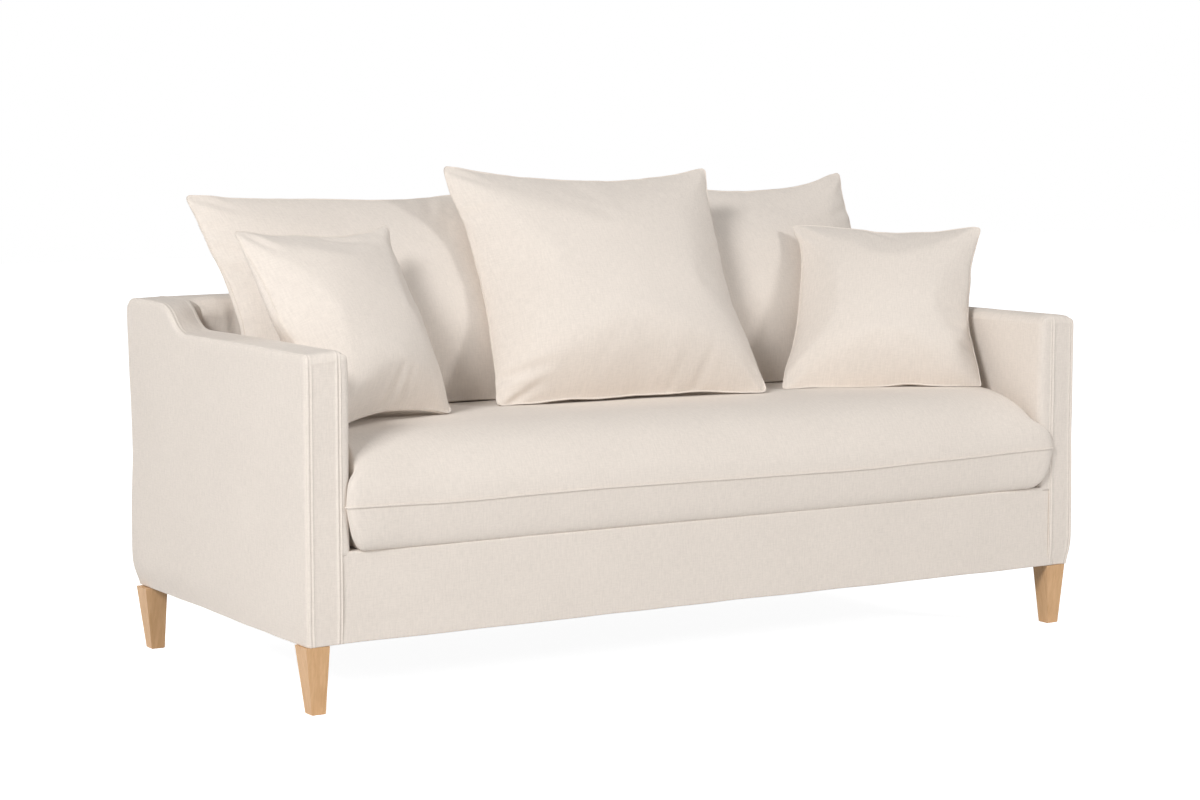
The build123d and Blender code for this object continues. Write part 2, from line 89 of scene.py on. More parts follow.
def roundEdge(bm, radius, firstFace, secondFace):
    # rounds the box's edge between two faces; a face is its axis, its place and its outward sign
    first, firstPlace, firstSign = firstFace
    second, secondPlace, secondSign = secondFace
    for v in bm.verts:
        a = radius - (firstPlace - v.co[first]) * firstSign
        b = radius - (secondPlace - v.co[second]) * secondSign
        if a > 0 and b > 0:
            shrink = max(a, b) / math.hypot(a, b)
            v.co[first] = firstPlace - (radius - a * shrink) * firstSign
            v.co[second] = secondPlace - (radius - b * shrink) * secondSign


def pushOut(push):
    # moves points along their normals, in mm
    for v, amount in push.items():
        v.co += v.normal * amount * mm


def boxMesh(low, high):
    bm = bmesh.new()
    bmesh.ops.create_cube(bm, size=1)
    for v in bm.verts:
        v.co = Vector([low[n] + (high[n] - low[n]) * (v.co[n] + 0.5) for n in range(3)])
    return bm


def layClothMap(bm):
    # cloth coordinates in metres, taken square on to each face
    uvLayer = bm.loops.layers.uv.get("cloth") or bm.loops.layers.uv.new("cloth")
    for face in bm.faces:
        flat = max(range(3), key=lambda n: abs(face.normal[n]))
        for loop in face.loops:
            co = loop.vert.co
            loop[uvLayer].uv = ((co.y, co.z), (co.x, co.z), (co.x, co.y))[flat]


def addObject(name, data):
    made = bpy.data.objects.new(name, data)
    bpy.context.scene.collection.objects.link(made)
    return made


def placePiece(bm, name, material, body, nodes, smoothing=0, wall=0.0):
    mesh = bpy.data.meshes.new(name)
    bm.to_mesh(mesh)
    bm.free()
    piece = addObject(name, mesh)
    mesh.materials.append(material)
    for polygon in mesh.polygons:
        polygon.use_smooth = True
    if wall:
        shell = piece.modifiers.new("wall", "SOLIDIFY")
        shell.thickness = wall
        shell.offset = -1
        shell.use_rim = True
    if smoothing:
        rounder = piece.modifiers.new("rounding", "SUBSURF")
        rounder.levels = rounder.render_levels = smoothing
    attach(piece, body)
    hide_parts(*nodes)
    return piece


def newMaterial(name):
    material = bpy.data.materials.new(name)
    material.use_nodes = True
    tree = material.node_tree
    shader = tree.nodes["Principled BSDF"]
    return material, tree, shader


def addNode(tree, kind, **values):
    node = tree.nodes.new(kind)
    for key, value in values.items():
        if key in node.inputs:
            node.inputs[key].default_value = value
        else:
            setattr(node, key, value)
    return node


def mathNode(tree, operation, first, second):
    node = addNode(tree, "ShaderNodeMath", operation=operation)
    for socket, value in zip(node.inputs, (first, second)):
        if isinstance(value, (int, float)):
            socket.default_value = value
        else:
            tree.links.new(value, socket)
    return node.outputs[0]


def drawnOut(tree, vector, stretch):
    mapping = addNode(tree, "ShaderNodeMapping", Scale=stretch)
    tree.links.new(vector, mapping.inputs["Vector"])
    return mapping.outputs["Vector"]


def noiseOn(tree, vector, scale, detail, roughness, stretch=None, distortion=0.0):
    # a noise pattern on the given coordinates, drawn out along one of them where stretch is given
    if stretch:
        vector = drawnOut(tree, vector, stretch)
    pattern = addNode(
        tree, "ShaderNodeTexNoise", Scale=scale, Detail=detail, Roughness=roughness, Distortion=distortion
    )
    tree.links.new(vector, pattern.inputs["Vector"])
    return pattern.outputs["Fac"]


def colourBy(tree, shader, value, dark, light):
    # dark and light are each a place on the ramp and its colour
    ramp = addNode(tree, "ShaderNodeValToRGB")
    for element, (place, colour) in zip(ramp.color_ramp.elements, (dark, light)):
        element.position = place
        element.color = (*colour, 1)
    tree.links.new(value, ramp.inputs["Fac"])
    tree.links.new(ramp.outputs["Color"], shader.inputs["Base Color"])


def bumpBy(tree, shader, height, strength, depth, under=None):
    relief = addNode(tree, "ShaderNodeBump", Strength=strength, Distance=depth)
    tree.links.new(height, relief.inputs["Height"])
    if under:
        tree.links.new(under, relief.inputs["Normal"])
    tree.links.new(relief.outputs["Normal"], shader.inputs["Normal"])
    return relief.outputs["Normal"]


clothLook = {
    "thread": 1.3 * mm,  # from one thread to the next
    "threadWander": 1.4,
    # places on the ramp, and their colours
    "dark": (0.49, (0.735, 0.664, 0.597)),
    "light": (0.98, (0.88, 0.798, 0.72)),
    # each pattern's scale, detail, roughness and stretch
    "nap": (520.0, 5.0, 0.65),
    "streaks": (300.0, 4.0, 0.6, (1.0, 0.16, 1.0)),
    "slubs": (360.0, 3.0, 0.6, (0.2, 1.0, 1.0)),
    "clouds": (7.0, 3.0, 0.5),
    # how much each of streaks, slubs, nap, clouds and weave counts in the colour
    "shares": (0.6, 0.45, 0.3, 0.15, 0.15),
    "weaveRelief": (0.6, 0.25 * mm),  # strength and depth
    "napRelief": (0.5, 0.5 * mm),
    "roughness": (0.86, 0.98),
    "gloss": 0.18,
    "sheen": (0.12, 0.6),  # weight and roughness
}


def makeCloth(name):
    look = clothLook
    material, tree, shader = newMaterial(name)
    cloth = addNode(tree, "ShaderNodeUVMap", uv_map="cloth").outputs["UV"]
    bands = []
    for direction in ("X", "Y"):
        wave = addNode(
            tree, "ShaderNodeTexWave", wave_type="BANDS", bands_direction=direction, wave_profile="SIN",
            Scale=0.314 / look["thread"], Distortion=look["threadWander"], Detail=2.0,
        )
        wave.inputs["Detail Scale"].default_value = 1.6
        tree.links.new(cloth, wave.inputs["Vector"])
        bands.append(wave.outputs["Fac"])
    weave = mathNode(tree, "MULTIPLY", bands[0], bands[1])
    nap = noiseOn(tree, cloth, *look["nap"])
    streaks = noiseOn(tree, cloth, *look["streaks"])
    slubs = noiseOn(tree, cloth, *look["slubs"])
    clouds = noiseOn(tree, cloth, *look["clouds"])

    shade = 0.0
    for pattern, share in zip((streaks, slubs, nap, clouds, weave), look["shares"]):
        shade = mathNode(tree, "ADD", shade, mathNode(tree, "MULTIPLY", pattern, share))
    colourBy(tree, shader, shade, look["dark"], look["light"])
    threads = bumpBy(tree, shader, weave, *look["weaveRelief"])
    bumpBy(tree, shader, nap, *look["napRelief"], under=threads)

    roughness = addNode(tree, "ShaderNodeMapRange")
    roughness.inputs["To Min"].default_value, roughness.inputs["To Max"].default_value = look["roughness"]
    tree.links.new(nap, roughness.inputs["Value"])
    tree.links.new(roughness.outputs["Result"], shader.inputs["Roughness"])
    shader.inputs["Specular IOR Level"].default_value = look["gloss"]
    shader.inputs["Sheen Weight"].default_value = look["sheen"][0]
    shader.inputs["Sheen Roughness"].default_value = look["sheen"][1]
    return material


def makeWood(name, light, dark, ringSize=6 * mm, roughness=0.45):
    # straight grain along z, from drawn-out noise and fine pores
    material, tree, shader = newMaterial(name)
    coords = addNode(tree, "ShaderNodeTexCoord").outputs["Object"]
    rings = noiseOn(tree, coords, 1 / ringSize, 4.0, 0.55, stretch=(1.0, 1.0, 0.045), distortion=0.4)
    pores = addNode(tree, "ShaderNodeTexVoronoi", Scale=900.0, Randomness=1.0)
    tree.links.new(drawnOut(tree, coords, (1.0, 1.0, 0.12)), pores.inputs["Vector"])
    flecks = mathNode(tree, "LESS_THAN", pores.outputs["Distance"], 0.16)
    tone = mathNode(tree, "SUBTRACT", rings, mathNode(tree, "MULTIPLY", flecks, 0.14))
    colourBy(tree, shader, tone, (0.3, dark), (0.68, light))
    bumpBy(tree, shader, tone, 0.35, 0.2 * mm)
    shader.inputs["Roughness"].default_value = roughness
    shader.inputs["Specular IOR Level"].default_value = 0.35
    return material


def makeSpeckled(name, light, dark, size, roughness, metallic=0.0):
    # an even finish with a fine grain of two tones
    material, tree, shader = newMaterial(name)
    coords = addNode(tree, "ShaderNodeTexCoord").outputs["Object"]
    grains = noiseOn(tree, coords, 1 / size, 4.0, 0.6)
    colourBy(tree, shader, grains, (0.35, dark), (0.65, light))
    bumpBy(tree, shader, grains, 0.4, 0.1 * mm)
    shader.inputs["Roughness"].default_value = roughness
    shader.inputs["Metallic"].default_value = metallic
    return material


coverCloth = makeCloth("coverCloth")
cushionCloth = makeCloth("cushionCloth")
beech = makeWood("beechWood", (0.72, 0.45, 0.24), (0.61, 0.36, 0.175))
print("materials made")


armLow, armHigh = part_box("outside_arm_right")
armLook = {
    "inside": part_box("inside_arm_right")[0].x,
    "outside": armHigh.x,
    "front": armLow.y,
    "rear": armHigh.y,
    "hem": armLow.z,
    "top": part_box("arm_front_panel_right")[1].z + 18 * mm,
    "deck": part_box("seat_deck")[1].z,
    "rise": 54 * mm,
    "riseStart": 120 * mm,
    "riseEnd": 250 * mm,
    "riseSkew": 45 * mm,
    "topFall": 4,  # mm, towards the outer edge
    "topFallBehind": 2.5,  # mm less behind the rise
    "narrowing": 12 * mm,
    "cornerFill": 18 * mm,
    "fuller": 1.4 * mm,
    # roundings, and for -1, the left arm, and 1, the right one, where they differ
    "outerRound": 8 * mm,
    "outerTopRound": {-1: 9 * mm, 1: 22 * mm},
    "innerRound": 26 * mm,
    "frontInnerRound": 15 * mm,
    "frontTopRound": 15 * mm,
    "rearRound": 30 * mm,
    # where rows are cut, as shares of a rounding
    "outerRows": (0.2, 0.42),
    "innerRows": (0.08, 0.24, 0.42, 0.73, 1.0),
    "frontRows": (0.16, 0.42, 0.73, 1.0),
    "rearRows": (0.1, 0.25, 0.42, 0.73, 1.0),
    "step": 17 * mm,
    "fineStep": 8 * mm,
    "fineFrom": 100 * mm,
    "fineTo": 310 * mm,
    "outerSeam": 6 * mm,
    "innerSeam": {-1: 28 * mm, 1: 35 * mm},
    "seamHeight": 1.6,  # mm
    "seamRows": (-9.4, -8.0, -7.2, -6.4, -4.9, -2.9, -1.7, 0, 1.7, 2.9),  # mm from the seam, outwards
    "crossSeam": 18 * mm,
    "crossRows": (-2.6, -1.4, 0, 1.4),
    "crossHeight": 0.55,
}

# how the cloth of the whole cover hangs
hangLook = {
    "wall": 2.5 * mm,  # with its lining
    # heights between which the cloth is drawn in ever less, comes to stand full, fades again and leans out
    "drawn": (0.132, 0.172),
    "full": (0.132, 0.205),
    "faded": (0.26, 0.42),
    "lean": (0.4, 0.66),
    # how far it is drawn in at the hem, stands full above it and leans out at the top, in mm
    "front": {-1: (1.0, 0.5, 0.0), 1: (8.0, 1.0, -0.5)},
    "back": (8.0, 3.0, 4.0),
    "rear": (8, 3, 9),
    "rearFuller": 2.4 * mm,
    "hemZone": 12 * mm,
}


def seamRise(offset):
    # a lapped seam: a raised cord of cloth, and beside it a lower one along the stitches, offset in mm
    if abs(offset) <= 1.8:
        return 1.0 - 0.1 * abs(offset)
    if abs(offset + 7.2) < 0.9:
        return 0.7
    if abs(offset + 4.9) < 0.2 or abs(abs(offset) - 2.9) < 0.2:
        return -0.15
    return 0.0


def riseAt(y):
    # two tangent arcs carry the arm's top up to the height of the back
    start, end, rise = armLook["riseStart"], armLook["riseEnd"], armLook["rise"]
    half = (end - start) / 2
    radius = (half ** 2 + (rise / 2) ** 2) / rise
    if y <= start:
        return 0.0
    if y >= end:
        return rise
    if y < start + half:
        return radius - math.sqrt(radius ** 2 - (y - start) ** 2)
    return rise - radius + math.sqrt(radius ** 2 - (end - y) ** 2)


def skewedRise(x, y):
    # the rise lies further back along the inside edge
    behind = armLook["riseSkew"] * (1 - smooth(armLook["inside"] - 10 * mm, armLook["outside"], x))
    return riseAt(y - behind)


def sideBulge(z, tuck, belly, lean):
    # the outside hangs full above the hem and is drawn in under it
    look = hangLook
    drawn = -tuck * (1 - smooth(*look["drawn"], z))
    full = belly * smooth(*look["full"], z) * (1 - smooth(*look["faded"], z))
    return (drawn + full + lean * smooth(*look["lean"], z)) * mm


def hangAt(side, y):
    # the arm's tuck, belly and lean, from its front to its back
    rear = smooth(-0.3, 0.36, y)
    return [a + (b - a) * rear for a, b in zip(hangLook["front"][side], hangLook["back"])]


def hangBehind(co):
    co.y += (sideBulge(co.z, *hangLook["rear"]) + hangLook["rearFuller"]) * smooth(0.3, 0.4, co.y)


def hemWander(x, y):
    return (1.6 * ripple(Vector((x, y, 0)), 0.12, 1.7) - 1.4) * mm


def finishCover(bm, name, covered):
    cover = placePiece(
        bm, name, coverCloth, "frame", covered, smoothing=1, wall=hangLook["wall"]
    )


def makeArmCover(side, name):
    look = armLook
    inside, outside, front, rear = look["inside"], look["outside"], look["front"], look["rear"]
    hem, top = look["hem"], look["top"]
    bm = boxMesh((inside, front, hem), (outside, rear, top))
    seams = [inside + look["innerSeam"][side], outside - look["outerSeam"]]
    xRows = [seam + offset * mm for seam in seams for offset in look["seamRows"]]
    xRows = [row for row in xRows if row < outside]
    xRows += rowsWithin(outside, -look["outerRound"], look["outerRows"])
    xRows += rowsWithin(inside, look["innerRound"], look["innerRows"])
    xRows += spread(seams[0] + 4 * mm, seams[1] - 10 * mm, 9 * mm)
    yRows = rowsWithin(front, look["frontTopRound"], look["frontRows"])
    yRows += rowsWithin(rear, -look["rearRound"], look["rearRows"])
    yRows += spread(front + look["frontTopRound"], look["fineFrom"], look["step"])
    yRows += spread(look["fineFrom"], look["fineTo"], look["fineStep"])
    yRows += spread(look["fineTo"], rear - look["rearRound"], look["step"])
    yRows += [look["fineFrom"], look["fineTo"]]
    cross = top - look["crossSeam"]
    zRows = rowsWithin(top, -look["frontTopRound"], look["frontRows"])
    zRows += [cross + offset * mm for offset in look["crossRows"]]
    zRows += [hem + 3 * mm, hem + 9 * mm]
    zRows += spread(hem + 9 * mm, cross + look["crossRows"][0] * mm, look["step"])
    cutRows(bm, 0, xRows)
    cutRows(bm, 1, yRows)
    cutRows(bm, 2, zRows)
    dropFaces(bm, lambda middle: middle.z < hem + near)
    dropFaces(bm, lambda middle: middle.z < look["deck"] - 6 * mm and middle.x < seams[0] - 7 * mm)

    ridge = bm.verts.layers.float.new("ridge")
    for v in bm.verts:
        for seam in seams:
            offset = (v.co.x - seam) / mm
            if abs(offset) < 8.5:
                v[ridge] = max(v[ridge], seamRise(offset), key=abs)
        offset = (v.co.z - cross) / mm
        if v.co.y < front + near and seams[0] < v.co.x < seams[1] and abs(offset) < 1.5:
            v[ridge] = look["crossHeight"]

    inner, outer = (0, inside, -1), (0, outside, 1)
    fore, behind, above = (1, front, -1), (1, rear, 1), (2, top, 1)
    roundEdge(bm, look["outerTopRound"][side], outer, above)
    roundEdge(bm, look["innerRound"], inner, above)
    roundEdge(bm, look["outerRound"], outer, fore)
    roundEdge(bm, look["frontInnerRound"], inner, fore)
    roundEdge(bm, look["outerRound"], outer, behind)
    roundEdge(bm, look["frontTopRound"], fore, above)
    roundEdge(bm, look["rearRound"], behind, above)

    for v in bm.verts:
        co = v.co
        outward = smooth(seams[0], outside - 8 * mm, co.x)
        # the top falls away to its outer edge
        fall = look["topFall"] - look["topFallBehind"] * smooth(0.2, 0.34, co.y)
        co.z -= fall * mm * smooth(seams[0], outside, co.x) * smooth(0.55, 0.66, co.z)
        # behind the rise the top is narrower, and the inside runs round into the back
        inward = 1 - smooth(inside, inside + 40 * mm, co.x)
        co.x += look["narrowing"] * inward * smooth(0.1, 0.2, co.y) * smooth(0.6, 0.66, co.z)
        cornerRun = min(max(co.y - (0.258 - look["cornerFill"]), 0), look["cornerFill"])
        fill = look["cornerFill"] - math.sqrt(look["cornerFill"] ** 2 - cornerRun ** 2)
        co.x -= fill * inward ** 2 * smooth(0.45, 0.55, co.z)
        tuck, belly, lean = hangAt(side, co.y)
        co.x += (sideBulge(co.z, tuck, belly, lean) + look["fuller"]) * outward
        hangBehind(co)
        co.y -= sideBulge(co.z, 0.3 * tuck, 2, 1) * smooth(-0.3, -0.4, co.y)
        co.z += skewedRise(co.x, co.y) * smooth(0.25, 0.62, co.z)
    bm.normal_update()
    push = {}
    for v in bm.verts:
        co = v.co
        along = Vector((co.x * side, co.y, co.z))
        inField = 1 - min(abs(v[ridge]), 1)
        sway = 1.6 * ripple(along, 0.21, 3.1) + 0.7 * ripple(along, 0.07, 8.2)
        pucker = 0.5 * ripple(along, 0.013, 5.0) * (1 if v[ridge] > 0.2 else 0.25 * inField)
        onTop = 1 - 0.45 * smooth(0.63, 0.66, co.z)
        push[v] = v[ridge] * onTop * look["seamHeight"] + sway + pucker
    pushOut(push)
    # the hem wanders a little
    for v in bm.verts:
        if v.co.z < hem + hangLook["hemZone"]:
            v.co.z += hemWander(v.co.x * side, v.co.y)
    layClothMap(bm)
    if side < 0:
        for v in bm.verts:
            v.co.x = -v.co.x
        bmesh.ops.reverse_faces(bm, faces=bm.faces[:])
    covered = ("outside_arm", "arm_front_panel", "arm_top_panel", "inside_arm", "arm_padding")
    finishCover(bm, f"arm_cover_{name}", [f"{part}_{name}" for part in covered])


for armName, armSide in (("left", -1), ("right", 1)):
    makeArmCover(armSide, armName)
print("arm covers made")


def foldDepth(fold, x, y, width, height):
    # a groove with a low ridge on both sides, deepest near its start and fading out along its run
    startX, startY, endX, endY = fold[0] * width, fold[1] * height, fold[2] * width, fold[3] * height
    runX, runY = endX - startX, endY - startY
    length = math.hypot(runX, runY)
    along = ((x - startX) * runX + (y - startY) * runY) / length ** 2
    aside = abs((x - startX) * runY - (y - startY) * runX) / length / (fold[4] * mm)
    if along < -0.3 or along > 1.2 or aside > 4:
        return 0.0
    fade = smooth(-0.25, 0.1, along) * (1 - smooth(0.25, 1.15, along))
    return fade * fold[5] * (-math.exp(-aside * aside) + 0.55 * math.exp(-((aside - 1.9) / 0.8) ** 2))


backLow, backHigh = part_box("outside_back")
backLook = {
    "reach": armLook["inside"] + 27.5 * mm,
    "foot": 214.5 * mm,
    "edge": 262 * mm,
    "rear": backHigh.y,
    "top": backHigh.z,
    "hem": backLow.z,
    "deck": armLook["deck"],
    "frontRound": 28 * mm,
    "rearRound": 30 * mm,
    "crown": 4 * mm,
    "seamBehind": 3 * mm,  # the rounding's end
    "seamHeight": 1.5,  # mm
    "step": 17 * mm,
    "rowStep": 15 * mm,
    "fineStep": 7 * mm,
    "fineFrom": 0.71,
    "fineAbove": 0.61,
    # soft folds in the inside corners, mirrored: from place to place, across and up in metres,
    # then width and depth in mm
    "folds": (
        (0.832, 0.716, 0.752, 0.699, 9, 4.0),
        (0.828, 0.70, 0.80, 0.64, 9, 2.0),
        (0.744, 0.706, 0.738, 0.6, 11, 2.4),
    ),
}


def makeBackCover():
    look = backLook
    front, rear, top = look["edge"], look["rear"], look["top"]
    reach, hem = look["reach"], look["hem"]
    bm = boxMesh((-reach, front, hem), (reach, rear, top))
    cutRows(bm, 0, spread(-reach, reach, look["step"]))
    for sign in (-1, 1):
        cutRows(bm, 0, [sign * place for place in spread(look["fineFrom"], reach, look["fineStep"])])
    topSeam = front + look["frontRound"] + look["seamBehind"]
    yRows = rowsWithin(front, look["frontRound"]) + rowsWithin(rear, -look["rearRound"])
    yRows += [topSeam + offset * mm for offset in (-1.7, 0, 1.7, 2.9)]
    yRows += spread(topSeam + 3 * mm, rear - look["rearRound"], look["rowStep"])
    below = top - look["rearRound"]
    zRows = rowsWithin(top, -look["rearRound"])
    zRows += spread(hem, below, look["rowStep"]) + [hem + 3 * mm]
    zRows += spread(look["fineAbove"], below, look["fineStep"])
    cutRows(bm, 1, yRows)
    cutRows(bm, 2, zRows)
    dropFaces(bm, lambda middle: middle.z < hem + near or abs(middle.x) > reach - near)
    dropFaces(bm, lambda middle: middle.z < look["deck"] - 25 * mm and middle.y < front + near)
    ridge = bm.verts.layers.float.new("ridge")
    for v in bm.verts:
        offset = (v.co.y - topSeam) / mm
        if v.co.z > top - near and abs(offset) < 3:
            v[ridge] = seamRise(offset)
    roundEdge(bm, look["frontRound"], (1, front, -1), (2, top, 1))
    roundEdge(bm, look["rearRound"], (1, rear, 1), (2, top, 1))
    slope = (front - look["foot"]) / (top - look["deck"])
    for v in bm.verts:
        co = v.co
        share = 1 - smooth(0.28, 0.36, co.y)
        co.y -= (top - co.z) * slope * share
        co.z += look["crown"] * (1 - (co.x / reach) ** 2) * smooth(0.6, 0.72, co.z)
        hangBehind(co)
    bm.normal_update()
    push = {}
    for v in bm.verts:
        co = v.co
        amount = v[ridge] * look["seamHeight"] + 2.2 * ripple(co, 0.19, 6.4) * smooth(0.8, 0.6, abs(co.x))
        # wrinkles on the inside, near the corners where it meets the arms
        if co.y < 0.33:
            corner = smooth(0.56, 0.74, abs(co.x)) * smooth(0.45, 0.6, co.z)
            amount += sum(foldDepth(fold, abs(co.x), co.z, 1, 1) for fold in look["folds"])
            amount += corner * 2.0 * ripple(Vector((co.x, co.z * 0.55 + abs(co.x) * 0.5, 0)), 0.045, 2.2)
        push[v] = amount
    pushOut(push)
    layClothMap(bm)
    finishCover(bm, "back_cover", ["inside_back", "outside_back", "back_padding"])


makeBackCover()
print("back cover made")


seatCoverLook = {
    "reach": armLook["inside"] + armLook["innerSeam"][1] + 10 * mm,
    "front": armLook["front"],
    "rear": 235 * mm,
    "top": armLook["deck"],
    "hem": armLook["hem"],
    "roll": 6 * mm,
    "topRows": (0.12, 0.42, 0.73, 1.0, 1.4, 1.8, 2.2, 3.2),  # as shares of the roll
    "step": 17 * mm,
    "rowStep": 15 * mm,
    "deepStep": 34 * mm,
    "tuck": {-1: 0.45, 1: 2.4},  # mm, at the left and the right end
    "setback": 2.2 * mm,  # of its ends behind the arm's front
    # how far its top leans in and then turns in under the seat cushion, in mm
    "lean": 10,
    "turnIn": 17,
}


def makeSeatCover():
    look = seatCoverLook
    front, rear, top = look["front"], look["rear"], look["top"]
    reach, hem = look["reach"], look["hem"]
    bm = boxMesh((-reach, front, hem), (reach, rear, top))
    cutRows(bm, 0, spread(-reach, reach, look["step"]))
    cutRows(bm, 1, rowsWithin(front, look["roll"]) + spread(-0.38, rear, look["deepStep"]))
    zRows = rowsWithin(top, -look["roll"], look["topRows"]) + [hem + 3 * mm]
    cutRows(bm, 2, zRows + spread(hem + 3 * mm, top - look["roll"], look["rowStep"]))
    dropFaces(bm, lambda middle: middle.z < hem + near or abs(middle.x) > reach - near)
    dropFaces(bm, lambda middle: middle.y > rear - near)
    square = {v: v.co.copy() for v in bm.verts}
    roundEdge(bm, look["roll"], (1, front, -1), (2, top, 1))
    for v in bm.verts:
        co = v.co
        # beside the arms the cloth goes straight up into the arm's seam
        upright = smooth(armLook["inside"] - 22 * mm, armLook["inside"] + 4 * mm, abs(co.x))
        v.co = co = co.lerp(square[v], upright)
        side = -1 if co.x < 0 else 1
        tuck = look["tuck"][side] * abs(co.x) / reach
        co.y -= sideBulge(co.z, tuck, 2, 0) * smooth(-0.3, -0.4, co.y)
        seam = armLook["inside"] + armLook["innerSeam"][side]
        co.y += look["setback"] * smooth(seam - 12 * mm, seam - 2 * mm, abs(co.x))
        inward = look["lean"] * smooth(top - 34 * mm, top - 8 * mm, co.z)
        inward += look["turnIn"] * smooth(top - 11 * mm, top - 5 * mm, co.z)
        co.y += inward * mm * smooth(-0.36, -0.39, co.y)
    bm.normal_update()
    push = {}
    for v in bm.verts:
        co = v.co
        sway = 1.5 * ripple(co, 0.24, 9.3) + 0.5 * ripple(co, 0.06, 4.4)
        push[v] = sway * smooth(0.84, 0.76, abs(co.x)) - 0.4
        if co.z < hem + hangLook["hemZone"]:
            co.z += hemWander(co.x, co.y)
    pushOut(push)
    layClothMap(bm)
    finishCover(bm, "seat_cover", ["front_apron", "seat_deck", "seat_platform_pad"])


makeSeatCover()
print("seat cover made")


def seamAt(table, place):
    # a smooth curve through evenly spaced values
    place = min(max(place, 0.0), 1.0) * (len(table) - 1)
    n = min(int(place), len(table) - 2)
    share = place - n
    before, after = table[max(n - 1, 0)], table[min(n + 2, len(table) - 1)]
    start, end = table[n], table[n + 1]
    squared = 2 * before - 5 * start + 4 * end - after
    cubed = 3 * (start - end) + after - before
    return start + 0.5 * share * (end - before + share * (squared + share * cubed))


seatLook = {
    "low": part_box("seat_cushion_upper_panel")[0],
    "high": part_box("seat_cushion_upper_panel")[1],
    "bottom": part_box("seat_cushion_lower_panel")[0].z,
    "lip": 5 * mm,
    "step": 14 * mm,
    "frontCorner": 20 * mm,
    "rearCorner": 45 * mm,
    # how far in from left, right, and front and rear the cloth curves, and the powers of that curve
    "crown": ((0.014, 0.05, 0.15), (2.5, 2.2)),
    "base": ((0.012, 0.03, 0.009), (2.2, 2.4)),
    "edgeRows": (0, 1.5, 4, 7.5, 12, 17, 23, 30, 38, 48, 60, 75, 93, 113, 136, 160),
    # how far the front seam sags from its middle line, in mm, at even steps from left to right
    "seamSag": (-2, -6, -5, -4, -6, -8, -10, -8, -4, 1),
    # how far the front corners spread, the height where they are widest, and how far up and down, in mm
    "swell": {-1: (26, 385, 175, 95), 1: (47, 382, 125, 95)},
    # gathers below the front seam: places from left to right, and depths, in mm
    "gathers": (
        (-738, 1.0), (-692, 1.5), (-681, 1.2), (-668, 1.5), (-654, 0.9),
        (-512, 0.8), (-90, 0.9), (240, 0.8), (612, 1.0),
    ),
    "lipReach": 1.7 * mm,
    "lipWidth": 3.2 * mm,
}


def edgeHeight(inset, sweep, powers):
    share = min(inset / sweep, 1.0)
    return (1 - (1 - share) ** powers[0]) ** (1 / powers[1])


def edgeTable(half, rows, step):
    # places across a cushion, crowded towards its edges
    insets = [row * mm for row in rows]
    flat = 2 * (half - insets[-1])
    middle = max(2, round(flat / step))
    places = [-half + inset for inset in insets]
    places += [-half + insets[-1] + flat * n / middle for n in range(1, middle)]
    return places + [half - inset for inset in reversed(insets)]


def together(first, second):
    # the height where two edges both hold the cloth down
    if min(first, second) < 1e-6:
        return 0.0
    return (first ** -4 + second ** -4 - 1) ** -0.25


def addLip(bm, onSeam, lipReach, width, groove=0.0):
    # a flange of cloth all along the seam, parted in two layers where the seam stands open
    bm.normal_update()
    edges = [e for e in bm.edges if e.verts[0][onSeam] and e.verts[1][onSeam] and len(e.link_faces) == 2]
    made = bmesh.ops.bevel(
        bm, geom=edges, offset=width / 2, segments=2, profile=0.5,
        affect="EDGES", material=-1, clamp_overlap=True,
    )
    bm.normal_update()
    grown = bmesh.ops.extrude_face_region(bm, geom=made["faces"])
    tips = {g for g in grown["geom"] if isinstance(g, bmesh.types.BMVert)}
    tipFaces = {g for g in grown["geom"] if isinstance(g, bmesh.types.BMFace)}
    bm.normal_update()
    moves = {}
    for v in tips:
        between = all(f in tipFaces for f in v.link_faces)
        moves[v] = v.normal * v[lipReach] * (1 - groove * between)
    for v, move in moves.items():
        v.co += move
    uvLayer = bm.loops.layers.uv["cloth"]
    for face in {f for v in tips for f in v.link_faces}:
        for loop in face.loops:
            co = loop.vert.co
            loop[uvLayer].uv = (co.x + 0.7 * co.y, co.z + 0.7 * co.y)
    for e in bm.edges:
        foot = [f in tipFaces or any(v in tips for v in f.verts) for f in e.link_faces]
        if any(foot) and not all(foot):
            e.smooth = False
    crease = bm.edges.layers.float.get("crease_edge") or bm.edges.layers.float.new("crease_edge")
    for v in tips:
        for e in v.link_edges:
            if all(end in tips for end in e.verts):
                e[crease] = 0.6


def cushionLayers(bm):
    ofVerts = bm.verts.layers
    return bm.loops.layers.uv.new("cloth"), ofVerts.int.new("onSeam"), ofVerts.float.new("lipReach")


